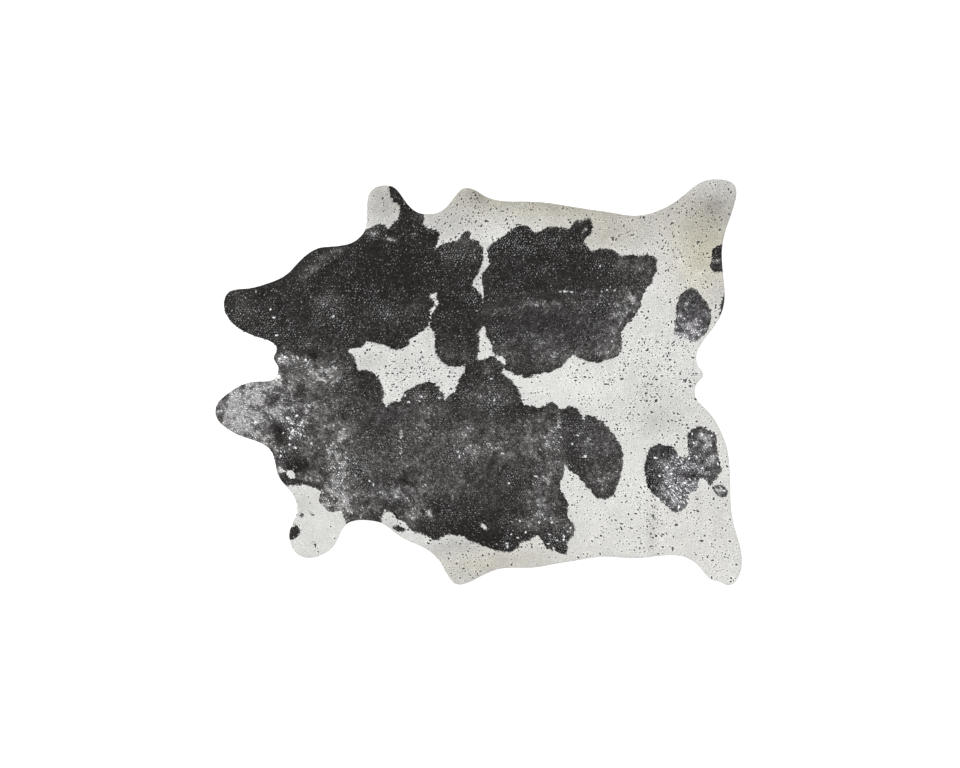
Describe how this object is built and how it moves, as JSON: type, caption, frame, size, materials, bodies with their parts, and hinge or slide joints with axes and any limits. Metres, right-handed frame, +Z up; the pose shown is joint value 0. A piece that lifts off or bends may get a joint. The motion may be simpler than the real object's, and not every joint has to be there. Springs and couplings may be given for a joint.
{
  "type": "cowhide area rug",
  "caption": "Cowhide area rug: one whole hair-on hide lying flat, cut to its natural outline with neck lobes, shanks and tail root.",
  "frame": {"origin": "on the floor, at the bottom centre of the hide's bounding box", "axes": "+X from the neck to the tail, +Y to the animal's right side, +Z up out of the hair side"},
  "size_m": [2.4, 1.851, 0.003],
  "materials": {
    "hide": "tanned cowhide with short hair pressed flat, white with charcoal patches",
    "white_hair": "short white hair with acid-washed flecks of dull silver",
    "dark_hair": "short charcoal hair with acid-washed flecks of bright silver",
    "flesh_side": "pale grey suede underside and cut edge"
  },
  "bodies": {
    "root": {"hide": "hide"}
  },
  "joints": []
}
